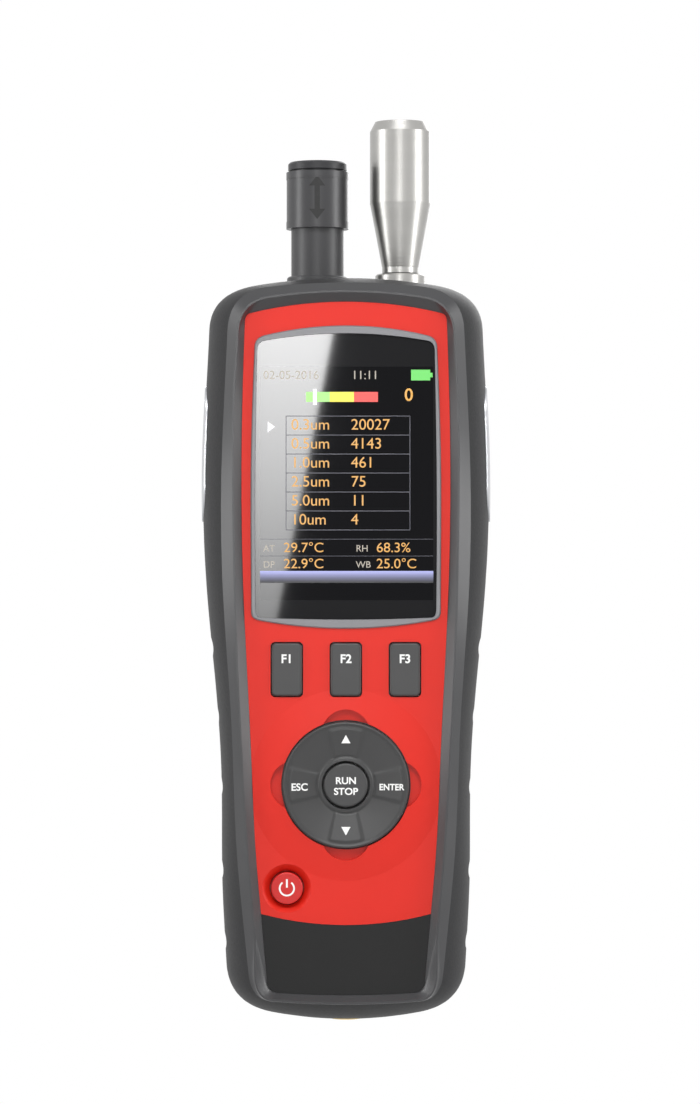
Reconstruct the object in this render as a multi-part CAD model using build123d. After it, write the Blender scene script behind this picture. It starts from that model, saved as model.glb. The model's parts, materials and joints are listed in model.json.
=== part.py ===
from build123d import *
import math
import os
from dataclasses import dataclass
from functools import lru_cache

# A hand-held particle counter: a rubber-jacketed case with a red front panel, a display, a round
# navigation ring, a shuttered humidity sensor and a metal air inlet probe on its crown.
# Millimetres. +Z is up, the display faces -Y, and the origin is the mouth of the tripod socket.

# ---------------------------------------------------------------- overall size
BODY_HEIGHT = 196.6        # case alone, from its foot to its crown
BODY_WIDTH = 76.1          # widest part of the case, at the head
HEAD_BACK = 34.5           # back of the head, behind the socket's axis
HANDLE_BACK = 17.0         # back of the slimmer handle
CREST_Y = -22.5            # foremost line of the frame around the panel
RIDGE_Y = -20.1            # line where the rubber jacket meets the frame
PANEL_Y = -20.5            # face of the red panel
SPLIT_Y = -6.0             # joint between the two housings
JACKET_BACK = 11.0         # rear edge of the rubber jacket
NECK_LOW = 66.0            # the back swells from the handle to the head between these heights
NECK_HIGH = 100.0
BACK_FILLET = 5.0          # rounding around the back

# ---------------------------------------------------------------- walls and clearances
SKIN = 1.8                 # rubber jacket
WALL = 2.15                # housing wall under the jacket
REAR_WALL = 2.6            # housing wall behind the jacket
BACK_WALL = 2.2            # housing wall at the back
SEAL = 0.6                 # thickness of the seal in the joint
CREST_LAND = 0.5           # flat along the frame's crest
PANEL_THICK = 2.0
FLOOR_THICK = 2.0          # housing floor behind the panel
FIT = 0.05                 # between pieces fixed to each other
KEY_GAP = 0.3              # around a key
RUN = 0.05                 # radial, around a pin that turns or a shaft that slides

# ---------------------------------------------------------------- screen
BEZEL_Y = -21.1            # face of the ring around the window
WINDOW_Y = -20.6
WINDOW_THICK = 1.4
WINDOW_LEDGE = 0.9         # lip of the bezel under the window
LCD_WIDTH = 45.2           # lit area
LCD_LOW, LCD_HIGH = 111.6, 172.5
LCD_GLASS_Y = -18.4
LCD_FRAME = 1.6            # rim of the module around the lit area

# ---------------------------------------------------------------- keys
KEY_ROW_Z = 93.5
KEY_PITCH = 15.4
KEY_WIDTH, KEY_HEIGHT, KEY_CORNER = 7.9, 13.8, 1.2
KEY_Y = -21.2
FLANGE_REACH = 0.7         # how far a key's flange catches behind the floor
FLANGE_THICK = 0.85
PLUNGER_R = 1.2
RING_Z = 63.4
RING_R = 16.5
RING_Y = -21.9             # outer rim of the ring
RING_DISH_Y = -20.9        # bottom of the dish around the hub
HUB_BORE = 6.25
HUB_R = 7.2
CENTRE_R = 5.7
CENTRE_Y = -22.0
RING_TILT_Y = -17.6        # both rocking axes lie at this depth
RING_SWITCH_R = 13.0
TRUNNION_R = 0.45
MOUND_R = 25.0             # the panel rises gently to the ring from this radius
MOUND_RISE = 1.5
SCALLOP_R, SCALLOP_OUT = 6.3, 13.4
POWER_X, POWER_Z = -15.4, 36.4
POWER_R, POWER_DISH_R = 4.2, 6.4
POWER_Y = -20.4
SEAM_Z, SEAM_RISE, SEAM_HALF = 26.8, 3.1, 22.2   # arched seam between red panel and chin

# ---------------------------------------------------------------- keypad and board
MAT_FRONT, MAT_WEB_BACK = -14.6, -13.4
DOME_FRONT = -12.6
BOARD_FRONT, BOARD_THICK = -12.0, 1.6
BOARD_LOW, BOARD_STEP, BOARD_HIGH = 22.0, 82.0, 186.0
BOARD_HALF_LOW, BOARD_HALF_HIGH = 21.5, 24.2
PLUNGER_END = -13.45

# ---------------------------------------------------------------- fasteners
BOSS_R = 2.8
BOSSES = ((27.3, 170.0), (27.3, 106.0), (22.3, 15.5))   # right-hand side, mirrored to the left
SCREW_R, SCREW_HEAD_R, SCREW_HEAD = 1.25, 2.3, 1.8
SCREW_SEAT_Y = 5.0         # under the heads, down their deep counterbores
SCREW_DEPTH = 9.0          # past the joint, into the front housing
POSTS = ((17.0, 181.0), (17.0, 26.0))
POST_R, BOARD_SCREW_R, BOARD_HEAD_R, BOARD_HEAD = 2.2, 0.85, 1.6, 1.1

# ---------------------------------------------------------------- shuttered sensor
PROBE_Y = 10.0             # both probes stand in this plane
SEAT_DROP = 3.0            # depth of their seats below the crown
PAD_THICK = 4.1
NUT_THICK = 2.8
SENSOR_X = -7.7
STEM_R, STEM_FLANGE_R, STEM_BORE = 7.06, 8.2, 4.5
STEM_FLANGE_TOP = 1.6      # above the crown
STEM_HEIGHT = 14.4
CAGE_HEIGHT = 15.9
CAGE_SLOT, CAGE_SLOTS = 3.0, 4
CAP_R, CAP_THICK = 7.9, 2.1
SLEEVE_R, SLEEVE_RIB = 8.3, 0.1
SLEEVE_LENGTH = 15.2
SLEEVE_LIFT = 0.1          # above the stem's shoulder

# ---------------------------------------------------------------- inlet probe
INLET_X = 14.6
PROBE_R, PROBE_RIM_R, PROBE_NECK_R = 8.15, 6.8, 4.87
PROBE_TOP = 43.3           # above the crown
PROBE_CHAMFER, PROBE_CREASE, PROBE_NECK_TOP = 40.7, 21.4, 4.1
MOUTH_R, MOUTH_DEPTH, PROBE_DUCT_R = 6.0, 8.0, 1.5
SPIGOT_FLANGE_R, SPIGOT_FLANGE_TOP = 6.7, 2.3
SPIGOT_R, SPIGOT_HEIGHT = 3.4, 7.0
GASKET = 0.3

# ---------------------------------------------------------------- air path
BARB_R, TUBE_R = 1.9, 3.0
CHAMBER = ((2.0, 27.0), (4.0, 24.0), (128.0, 157.0))
PUMP = ((-6.0, 22.0), (3.0, 27.0), (96.0, 122.0))
PUMP_BORE_R, MOTOR_R, MOTOR_HEIGHT = 10.0, 8.5, 12.0
IMPELLER_R, SHAFT_R = 8.5, 1.0
EXHAUST_X, EXHAUST_Y = 16.0, 4.0
EXHAUST_BARB_R, EXHAUST_TUBE_R, EXHAUST_FITTING_R = 1.6, 2.3, 2.6

# ---------------------------------------------------------------- battery and foot
DOOR_HALF, DOOR_LOW, DOOR_HIGH, DOOR_THICK = 18.5, 7.4, 65.6, 1.8
BAY_X, BAY_Z, BAY_FRONT = (-16.3, 11.8), (16.2, 57.8), -3.2
BAY_WALL = 1.6
DOOR_SCREWS = (11.0, 61.8)
SOCKET_R, SOCKET_OUTER_R, SOCKET_DEPTH = 2.75, 4.4, 8.0
PORT_X, PORT_HALF_Y = (-19.6, -7.2), 4.6
PORT_DEPTH = 4.0
USB_X, USB_HALF_Y, USB_Z = (-17.2, -9.4), 1.6, (4.2, 13.0)
USB_SHEET = 0.5

# ---------------------------------------------------------------- trim
INLAY_Z, INLAY_HALF_Y = (132.2, 168.4), 9.0
INLAY_PROUD, INLAY_DEPTH = 0.35, 1.0
SLOT_LENGTH, SLOT_WIDTH, SLOT_PITCH, SLOTS = 5.3, 3.4, 8.0, 4
GROOVES = (98.5, 80.4, 62.0, 39.9, 20.7)     # finger grooves down the sides of the grip
GROOVE_DEPTH, GROOVE_R = 0.5, 6.0
CAMERA_Z, CAMERA_R = 160.0, 5.5
LIGHT_X, LIGHT_R = (-12.0, 12.0), 2.0
PLATE_Z, PLATE_HALF, PLATE_THICK = (112.0, 142.0), 19.0, 0.4

# ---------------------------------------------------------------- derived places
DRAWN_WIDTH, DRAWN_HEIGHT = 76.1, 196.6      # size for which the outlines are drawn
wide = BODY_WIDTH / DRAWN_WIDTH
tall = BODY_HEIGHT / DRAWN_HEIGHT
FLOOR_Y = PANEL_Y + PANEL_THICK
FLOOR_BACK = FLOOR_Y + FLOOR_THICK
BOARD_BACK = BOARD_FRONT + BOARD_THICK
FLANGE_Y = FLOOR_BACK + FIT
SEAT_Z = BODY_HEIGHT - SEAT_DROP
PAD_Z = SEAT_Z - PAD_THICK
SHOULDER_Z = BODY_HEIGHT + STEM_HEIGHT
INSIDE_BACK = HEAD_BACK - BACK_WALL


@dataclass(frozen=True)
class Outline:
    """Half of a symmetric front-view outline: an arched crown, a curved side and an arched foot."""
    top: float
    crown_half: float
    crown_drop: float
    side: tuple
    foot_half: float
    foot_rise: float
    bottom: float


GIRTH = Outline(196.6, 25.0, 2.3,
                ((36.4, 183.4), (38.05, 147), (37.1, 115), (34.7, 89.5), (33.1, 66), (32.9, 36), (31.9, 15)),
                19.5, 2.0, 0.0)
RIDGE = Outline(194.5, 20.0, 1.1,
                ((30.9, 182), (32.5, 145), (32.0, 111.6), (29.9, 79.6), (28.5, 46), (25.4, 14)),
                19.0, 0.8, 6.0)
CREST = Outline(192.3, 20.0, 1.5,
                ((28.5, 181), (29.6, 160), (29.65, 142), (29.1, 110), (27.9, 80.8), (25.8, 45), (24.0, 24)),
                19.0, 0.8, 6.4)
PANEL = Outline(189.5, 25.0, 3.0,
                ((26.4, 184.2), (26.9, 169), (27.3, 141.9), (26.7, 111.6), (25.7, 91), (24.7, 70.4),
                 (23.6, 46.4), (22.2, 29.9), (20.6, 12)),
                17.5, 0.6, 8.5)
BEZEL = Outline(183.2, 21.0, 2.5,
                ((23.8, 177.6), (24.2, 168), (24.8, 145), (24.75, 120), (24.7, 108.5)),
                21.5, 1.9, 104.2)
WINDOW = Outline(181.2, 21.2, 1.9,
                 ((23.2, 176.6), (23.5, 160), (23.7, 145), (23.7, 120), (23.6, 109.5)),
                 22.2, 0.5, 106.5)


def wire(outline, y, inset=0.0):
    """The outline as a closed wire at depth y, drawn in by inset."""
    def point(x, z):
        return Vector(x * wide, y, z * tall)

    def arch(half, rise):
        radius = (half ** 2 + rise ** 2) / (2 * rise)
        angle = math.asin(half / radius)
        return math.sin(angle), math.cos(angle)

    def heading(start, end):
        return Vector((end[0] - start[0]) * wide, 0, (end[1] - start[1]) * tall).normalized()

    crown_sin, crown_cos = arch(outline.crown_half, outline.crown_drop)
    foot_sin, foot_cos = arch(outline.foot_half, outline.foot_rise)
    crown_end = (outline.crown_half - inset * crown_sin, outline.top - outline.crown_drop - inset * crown_cos)
    foot_end = (outline.foot_half - inset * foot_sin, outline.bottom + outline.foot_rise + inset * foot_cos)
    side = [(x - inset, z) for x, z in outline.side]
    leave_crown = Vector(crown_cos * wide, 0, -crown_sin * tall).normalized()
    join_foot = Vector(-foot_cos * wide, 0, -foot_sin * tall).normalized()
    side_start = heading(side[0], side[1])
    side_end = heading(side[-2], side[-1])

    def half(mirror):
        def place(p):
            return point(mirror * p[0], p[1])

        def turn(v):
            return Vector(mirror * v.X, 0, v.Z)

        return [
            Edge.make_spline([place(crown_end), place(side[0])],
                             tangents=[turn(leave_crown), turn(side_start)]),
            Edge.make_spline([place(p) for p in side], tangents=[turn(side_start), turn(side_end)]),
            Edge.make_spline([place(side[-1]), place(foot_end)],
                             tangents=[turn(side_end), turn(join_foot)]),
        ]

    def backwards(edges):
        mirrored = []
        for points, tangents in reversed(edges):
            mirrored.append(Edge.make_spline(points, tangents=tangents))
        return mirrored

    def flipped(start_points, start, end):
        return ([point(-x, z) for x, z in reversed(start_points)],
                [Vector(end.X, 0, -end.Z), Vector(start.X, 0, -start.Z)])

    crown = Edge.make_three_point_arc(point(-crown_end[0], crown_end[1]), point(0, outline.top - inset),
                                      point(*crown_end))
    foot = Edge.make_three_point_arc(point(*foot_end), point(0, outline.bottom + inset),
                                     point(-foot_end[0], foot_end[1]))
    left = backwards([flipped([crown_end, side[0]], leave_crown, side_start),
                      flipped(side, side_start, side_end),
                      flipped([side[-1], foot_end], side_end, join_foot)])
    return Wire([crown, *half(1), foot, *left])


def prism(outline, y0, y1, inset=0.0):
    """The outline drawn in by inset, as a straight plate from y0 to y1."""
    return extrude(Face(wire(outline, y0, inset)), amount=y1 - y0, dir=(0, 1, 0))


@lru_cache(maxsize=None)
def case_form(inset):
    """The whole case's rounded form, drawn in by inset, before its back is shaped."""
    return Solid.make_loft([wire(RIDGE, RIDGE_Y, inset), wire(GIRTH, 2.0, inset),
                            wire(GIRTH, JACKET_BACK, inset + 0.8), wire(GIRTH, HEAD_BACK, inset + 3.5)],
                           ruled=False)


def block(x, y, z):
    """A box given by the low and high limits along each axis."""
    middle = Pos((x[0] + x[1]) / 2, (y[0] + y[1]) / 2, (z[0] + z[1]) / 2)
    return middle * Box(x[1] - x[0], y[1] - y[0], z[1] - z[0])


def slice_y(solid, y0, y1):
    """The part of a solid between two depths."""
    reach = 2 * max(BODY_WIDTH, BODY_HEIGHT)
    return solid & block((-reach, reach), (y0, y1), (-reach, 2 * reach))


def rod_y(x, z, radius, y0, y1):
    return Pos(x, (y0 + y1) / 2, z) * Rot(90, 0, 0) * Cylinder(radius, y1 - y0)


def rod_z(x, y, radius, z0, z1):
    return Pos(x, y, (z0 + z1) / 2) * Cylinder(radius, z1 - z0)


def rod_x(y, z, radius, x0, x1):
    return Pos((x0 + x1) / 2, y, z) * Rot(0, 90, 0) * Cylinder(radius, x1 - x0)


def plate_y(x, z, width, height, corner, y0, y1):
    """A rounded rectangle in the front view, from y0 to y1."""
    return extrude(Plane.XZ.offset(-y1) * Pos(x, z) * RectangleRounded(width, height, corner), amount=y1 - y0)


def turned_z(x, y, profile):
    """A solid turned about a vertical axis from (radius, height) points."""
    face = make_face(Plane.XZ * Polyline(*profile, close=True))
    return Pos(x, y, 0) * revolve(face, Axis.Z)


def turned_y(x, z, profile):
    """A solid turned about an axis along Y from (radius, depth) points."""
    face = make_face(Plane.XY * Polyline(*profile, close=True))
    return Pos(x, 0, z) * revolve(face, Axis.Y)


def back_profile(inset=0.0):
    """Everything in front of the back's side-view curve, drawn in by inset."""
    far = 2 * BODY_HEIGHT
    low, high = HANDLE_BACK - inset, HEAD_BACK - inset
    corners = [Vector(0, -far, -far), Vector(0, low, -far), Vector(0, low, NECK_LOW * tall),
               Vector(0, high, NECK_HIGH * tall), Vector(0, high, far), Vector(0, -far, far)]
    swell = Edge.make_spline([corners[2], corners[3]], tangents=[Vector(0, 0, 1), Vector(0, 0, 1)])
    lines = [Edge.make_line(corners[0], corners[1]), Edge.make_line(corners[1], corners[2]), swell,
             Edge.make_line(corners[3], corners[4]), Edge.make_line(corners[4], corners[5]),
             Edge.make_line(corners[5], corners[0])]
    return extrude(Face(Wire(lines)), amount=BODY_WIDTH, dir=(1, 0, 0), both=True)


def boss_places():
    return [(side * x * wide, z * tall) for x, z in BOSSES for side in (-1, 1)]


def post_places():
    return [(side * x * wide, z * tall) for x, z in POSTS for side in (-1, 1)]


def key_places():
    return [((i - 1) * KEY_PITCH * wide, KEY_ROW_Z * tall) for i in range(3)]


def ring_switch_places():
    z = RING_Z * tall
    return [(RING_SWITCH_R, z), (-RING_SWITCH_R, z), (0, z + RING_SWITCH_R), (0, z - RING_SWITCH_R)]


def power_place():
    return POWER_X * wide, POWER_Z * tall


def probe_seats(gap, low):
    """The two round seats sunk in the crown for the probes' flanges."""
    top = BODY_HEIGHT + 10
    return (rod_z(SENSOR_X, PROBE_Y, STEM_FLANGE_R + gap, low, top)
            + rod_z(INLET_X, PROBE_Y, SPIGOT_FLANGE_R + gap, low, top))


def foot_openings(gap):
    """Openings in the foot: tripod socket, cable port and exhaust."""
    low = -5.0
    return (rod_z(0, 0, SOCKET_OUTER_R + gap, low, SOCKET_DEPTH + 1.5)
            + block((PORT_X[0] - gap, PORT_X[1] + gap), (-PORT_HALF_Y - gap, PORT_HALF_Y + gap),
                    (low, PORT_DEPTH))
            + rod_z(EXHAUST_X, EXHAUST_Y, EXHAUST_FITTING_R + gap, low, 12.0))


def inlay_shape(side, gap):
    """A stadium-shaped prism through one flank of the jacket."""
    low, high = INLAY_Z[0] * tall - gap, INLAY_Z[1] * tall + gap
    half = INLAY_HALF_Y + gap
    middle = block((0, BODY_WIDTH), (-half, half), (low + half, high - half))
    ends = rod_x(0, low + half, half, 0, BODY_WIDTH) + rod_x(0, high - half, half, 0, BODY_WIDTH)
    return (middle + ends) if side > 0 else mirror(middle + ends, about=Plane.YZ)


# ---------------------------------------------------------------- casings
def front_housing():
    frame = Solid.make_loft([wire(RIDGE, RIDGE_Y), wire(CREST, CREST_Y)], ruled=True)
    wall = slice_y(case_form(SKIN + FIT), RIDGE_Y, SPLIT_Y - SEAL / 2)
    recess = Solid.make_loft([wire(CREST, CREST_Y, CREST_LAND), wire(PANEL, PANEL_Y)], ruled=True)
    cavity = slice_y(case_form(SKIN + FIT + WALL), FLOOR_BACK, SPLIT_Y + 1)
    shell = frame + wall - recess - prism(PANEL, PANEL_Y, FLOOR_Y) - cavity
    inside = case_form(SKIN + WALL / 2)
    for x, z in boss_places():
        shell += rod_y(x, z, BOSS_R, FLOOR_BACK, SPLIT_Y) & inside
    for x, z in post_places():
        shell += rod_y(x, z, POST_R, FLOOR_BACK, BOARD_FRONT)
    for x, z in boss_places():
        shell -= rod_y(x, z, SCREW_R + FIT, SPLIT_Y - SCREW_DEPTH - 1, SPLIT_Y)
    for x, z in post_places():
        shell -= rod_y(x, z, BOARD_SCREW_R + FIT, FLOOR_BACK, BOARD_FRONT)
    return shell - floor_openings()


def key_hole(x, z, y0, y1):
    """A rounded hole with the key's clearance all round."""
    return plate_y(x, z, KEY_WIDTH + 2 * KEY_GAP, KEY_HEIGHT + 2 * KEY_GAP, KEY_CORNER, y0, y1)


def floor_openings():
    """Holes through the floor for the display, the keys and the ring's gimbal."""
    cut = block((-LCD_WIDTH / 2 - FIT * 4, LCD_WIDTH / 2 + FIT * 4), (FLOOR_Y - 1, FLOOR_BACK + 1),
                (LCD_LOW * tall - FIT * 4, LCD_HIGH * tall + FIT * 4))
    for x, z in key_places():
        cut += key_hole(x, z, FLOOR_Y - 1, FLOOR_BACK + 1)
    power_x, power_z = power_place()
    cut += rod_y(power_x, power_z, POWER_R + KEY_GAP, FLOOR_Y - 1, FLOOR_BACK + 1)
    cut += rod_y(0, RING_Z * tall, gimbal_outer() + KEY_GAP, FLOOR_Y - 1, FLOOR_BACK + 1)
    for x, z in ring_switch_places():
        cut += rod_y(x, z, PLUNGER_R + KEY_GAP, FLOOR_Y - 1, FLOOR_BACK + 1)
    reach = gimbal_outer() + KEY_GAP + 1.1
    cut += Pos(0, RING_TILT_Y, RING_Z * tall) * Cylinder(TRUNNION_R + RUN, 2 * reach)
    return cut


def rear_housing():
    under = slice_y(case_form(SKIN + FIT), SPLIT_Y + SEAL / 2, JACKET_BACK + FIT) & back_profile()
    bare = slice_y(case_form(0.0), JACKET_BACK + FIT, HEAD_BACK) & back_profile()
    rim = [e for e in bare.edges() if e.bounding_box().min.Y > HANDLE_BACK - 1
           and not (e.bounding_box().size.Z < 0.01 and e.bounding_box().size.X > 10)]
    bare = fillet(rim, BACK_FILLET)
    cavity = (slice_y(case_form(SKIN + FIT + WALL), SPLIT_Y, JACKET_BACK + 2)
              + slice_y(case_form(REAR_WALL), JACKET_BACK + 2, HEAD_BACK)) & back_profile(BACK_WALL)
    shell = under + bare - cavity
    return shell + rear_inside() - rear_cuts()


def rear_inside():
    """Bosses, probe pads, battery bay and module posts inside the rear housing."""
    inside = case_form(SKIN + WALL / 2) & back_profile(BACK_WALL / 2)
    solids = rod_z(SENSOR_X, PROBE_Y, STEM_FLANGE_R, PAD_Z, SEAT_Z)
    solids += rod_z(INLET_X, PROBE_Y, SPIGOT_FLANGE_R, PAD_Z, SEAT_Z)
    solids += rod_z(0, 0, SOCKET_OUTER_R + 1.2, 3.0, SOCKET_DEPTH + 3.0)
    for x, z in boss_places():
        solids += rod_y(x, z, BOSS_R + 1.0, SPLIT_Y, HEAD_BACK) & inside
    bay = block((BAY_X[0] - BAY_WALL, BAY_X[1] + BAY_WALL), (BAY_FRONT - BAY_WALL, HANDLE_BACK - 1),
                (BAY_Z[0] * tall - BAY_WALL, BAY_Z[1] * tall + BAY_WALL))
    solids += bay
    for z in DOOR_SCREWS:
        solids += block((-BOSS_R, BOSS_R), (HANDLE_BACK - 8, HANDLE_BACK - 1),
                        (z * tall - BOSS_R, z * tall + BOSS_R))
    for x, z in module_screw_places():
        solids += rod_y(x, z, BOSS_R, module_back(z), HEAD_BACK - BACK_WALL / 2)
    return solids


def rear_cuts():
    """Screw holes, seats, the battery opening and the openings in the foot and the back."""
    cuts = probe_seats(FIT, SEAT_Z) + foot_openings(FIT)
    cuts += block((USB_X[0] - FIT, USB_X[1] + FIT), (-USB_HALF_Y - FIT, USB_HALF_Y + FIT), (0, USB_Z[1]))
    cuts += rod_z(SENSOR_X, PROBE_Y, STEM_BORE + 1.0 + FIT, PAD_Z, SEAT_Z)
    cuts += rod_z(INLET_X, PROBE_Y, SPIGOT_R + 0.8 + FIT, PAD_Z, SEAT_Z)
    for x, z in boss_places():
        cuts += rod_y(x, z, SCREW_R + 0.2, SPLIT_Y, SCREW_SEAT_Y)
        cuts += rod_y(x, z, SCREW_HEAD_R + 0.2, SCREW_SEAT_Y, HEAD_BACK + 1)
    cuts += block(BAY_X, (BAY_FRONT, HANDLE_BACK), (BAY_Z[0] * tall, BAY_Z[1] * tall))
    door_half = DOOR_HALF * wide + FIT
    cuts += block((-door_half, door_half), (HANDLE_BACK - DOOR_THICK - FIT, HANDLE_BACK + 1),
                  (DOOR_LOW * tall - FIT, DOOR_HIGH * tall + FIT))
    for z in DOOR_SCREWS:
        cuts += rod_y(0, z * tall, SCREW_R + FIT, HANDLE_BACK - 7.5, HANDLE_BACK)
    for x, z in module_screw_places():
        cuts += rod_y(x, z, SCREW_R + FIT, module_back(z), HEAD_BACK - BACK_WALL - 0.2)
    camera_z = CAMERA_Z * tall
    cuts += rod_y(0, camera_z, CAMERA_R + FIT, INSIDE_BACK - 1, HEAD_BACK)
    cuts += rod_y(0, camera_z, CAMERA_R + 1.2, HEAD_BACK - 1.0, HEAD_BACK + 1)
    for x in LIGHT_X:
        cuts += rod_y(x, camera_z, LIGHT_R + FIT, INSIDE_BACK - 1, HEAD_BACK + 1)
    cuts += rear_plate_shape(FIT, HEAD_BACK + 1)
    return cuts


def grip_jacket():
    jacket = slice_y(case_form(0.0), RIDGE_Y, JACKET_BACK) - case_form(SKIN)
    jacket -= probe_seats(KEY_GAP, PAD_Z) + foot_openings(FIT)
    for side in (-1, 1):
        jacket -= inlay_shape(side, FIT) - case_form(INLAY_DEPTH + FIT)
    return jacket - grip_grooves()


def grip_grooves():
    """Shallow finger grooves across both flanks of the grip, following its outline."""
    cuts = None
    for z in GROOVES:
        above = [p for p in GIRTH.side if p[1] >= z][-1]
        below = [p for p in GIRTH.side if p[1] < z][0]
        share = (z - below[1]) / (above[1] - below[1])
        flank = (below[0] + share * (above[0] - below[0])) * wide
        for side in (-1, 1):
            x = side * (flank + GROOVE_R - GROOVE_DEPTH)
            groove = rod_y(x, z * tall, GROOVE_R, -9.0, 9.0)
            cuts = groove if cuts is None else cuts + groove
    return cuts


def housing_seal():
    band = case_form(SKIN + FIT + 0.55) - case_form(SKIN + FIT + WALL - 0.55)
    ring = slice_y(band, SPLIT_Y - SEAL / 2, SPLIT_Y + SEAL / 2)
    for x, z in boss_places():
        ring -= rod_y(x, z, BOSS_R + 1.0 + FIT, SPLIT_Y - 1, SPLIT_Y + 1)
    return ring


# ---------------------------------------------------------------- front face
def seam_cut(gap):
    """Everything below the arched seam, as a block with a curved top."""
    half, rise = SEAM_HALF * wide, SEAM_RISE
    ends = [Vector(-2 * half, 0, SEAM_Z * tall + 4 * rise + gap), Vector(0, 0, SEAM_Z * tall + gap),
            Vector(2 * half, 0, SEAM_Z * tall + 4 * rise + gap)]
    arc = Edge.make_three_point_arc(*ends)
    low = Vector(2 * half, 0, -20), Vector(-2 * half, 0, -20)
    outline = Wire([arc, Edge.make_line(ends[2], low[0]), Edge.make_line(*low),
                    Edge.make_line(low[1], ends[0])])
    return extrude(Face(outline), amount=60, dir=(0, 1, 0), both=True)


def panel_openings():
    cut = prism(BEZEL, PANEL_Y - 5, FLOOR_Y + 1, -FIT)
    for x, z in key_places():
        cut += key_hole(x, z, PANEL_Y - 5, FLOOR_Y + 1)
    ring_z = RING_Z * tall
    cut += rod_y(0, ring_z, RING_R + KEY_GAP + 0.1, PANEL_Y - 5, FLOOR_Y + 1)
    for x, z in ((1, 0), (-1, 0), (0, 1), (0, -1)):
        cut += rod_y(x * SCALLOP_OUT, ring_z + z * SCALLOP_OUT, SCALLOP_R,
                     PANEL_Y - 5, PANEL_Y + PANEL_THICK / 3)
    power_x, power_z = power_place()
    dish = ((0, PANEL_Y - 1), (POWER_DISH_R + 0.9, PANEL_Y - 1), (POWER_R + KEY_GAP, FLOOR_Y), (0, FLOOR_Y))
    return cut + turned_y(power_x, power_z, dish)


def front_panel():
    panel = prism(PANEL, PANEL_Y, FLOOR_Y, FIT)
    sphere_r = (MOUND_R ** 2 + MOUND_RISE ** 2) / (2 * MOUND_RISE)
    mound = Pos(0, PANEL_Y - MOUND_RISE + sphere_r, RING_Z * tall) * Sphere(sphere_r)
    cap = slice_y(mound, PANEL_Y - MOUND_RISE - 1, PANEL_Y + 1)
    panel += cap & prism(PANEL, PANEL_Y - 3, PANEL_Y + 1, FIT)
    return panel - panel_openings() - seam_cut(FIT)


def chin_panel():
    return prism(PANEL, PANEL_Y, FLOOR_Y, FIT) & seam_cut(0.0)


def screen_bezel():
    ring = prism(BEZEL, BEZEL_Y, FLOOR_Y)
    seat = prism(WINDOW, BEZEL_Y - 1, WINDOW_Y + WINDOW_THICK)
    lip = prism(WINDOW, WINDOW_Y, FLOOR_Y + 1, WINDOW_LEDGE)
    ring = chamfer([e for e in ring.edges() if e.bounding_box().max.Y < BEZEL_Y + 0.01], 0.3)
    return ring - seat - lip


def screen_window():
    return prism(WINDOW, WINDOW_Y, WINDOW_Y + WINDOW_THICK - FIT, FIT)


def lcd_module():
    low, high, half = LCD_LOW * tall, LCD_HIGH * tall, LCD_WIDTH / 2
    glass = block((-half, half), (LCD_GLASS_Y, FLOOR_BACK + FIT), (low, high))
    frame = block((-half - LCD_FRAME, half + LCD_FRAME), (FLOOR_BACK + FIT, BOARD_FRONT),
                  (low - LCD_FRAME, high + LCD_FRAME))
    return glass + frame


# ---------------------------------------------------------------- keys
def function_key(index):
    x, z = key_places()[index]
    cap = plate_y(x, z, KEY_WIDTH, KEY_HEIGHT, KEY_CORNER, KEY_Y, FLANGE_Y)
    cap = fillet([e for e in cap.edges() if e.bounding_box().max.Y < KEY_Y + 0.01], 0.5)
    reach = 2 * (KEY_GAP + FLANGE_REACH)
    flange = plate_y(x, z, KEY_WIDTH + reach, KEY_HEIGHT + reach, KEY_CORNER,
                     FLANGE_Y, FLANGE_Y + FLANGE_THICK)
    return cap + flange + rod_y(x, z, PLUNGER_R, FLANGE_Y, PLUNGER_END)


def round_key(x, z, radius, front, rounding, flange_y):
    cap = rod_y(x, z, radius, front, flange_y)
    cap = fillet([e for e in cap.edges() if e.bounding_box().max.Y < front + 0.01], rounding)
    flange = rod_y(x, z, radius + KEY_GAP + FLANGE_REACH, flange_y, flange_y + FLANGE_THICK * 0.7)
    return cap + flange + rod_y(x, z, PLUNGER_R, flange_y, PLUNGER_END)


def run_stop_key():
    return round_key(0, RING_Z * tall, CENTRE_R, CENTRE_Y, 0.5, FLANGE_Y + 0.35)


def power_key():
    x, z = power_place()
    return round_key(x, z, POWER_R, POWER_Y, 0.4, FLANGE_Y)


def gimbal_outer():
    return HUB_R + 2.4


def nav_ring():
    """Rocking ring: a dished face, a hub tube with two trunnions along X and four plungers."""
    profile = ((HUB_BORE, RING_DISH_Y - 0.3), (HUB_R, RING_DISH_Y - 0.3), (HUB_R + 0.3, RING_DISH_Y),
               (RING_R - 1.2, RING_Y + 0.1), (RING_R - 0.5, RING_Y), (RING_R, RING_Y + 0.5),
               (RING_R, FLOOR_Y - 1.0), (HUB_R, FLOOR_Y - 1.0), (HUB_R, FLOOR_BACK - 0.4),
               (HUB_BORE, FLOOR_BACK - 0.4))
    ring = turned_y(0, RING_Z * tall, profile)
    for x, z in ring_switch_places():
        ring += rod_y(x, z, PLUNGER_R - 0.2, FLOOR_Y - 1.2, PLUNGER_END + 0.3)
    for side in (-1, 1):
        span = sorted((side * (HUB_R - 0.3), side * (gimbal_outer() - 0.3)))
        ring += rod_x(RING_TILT_Y, RING_Z * tall, TRUNNION_R, *span)
    return ring


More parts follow.
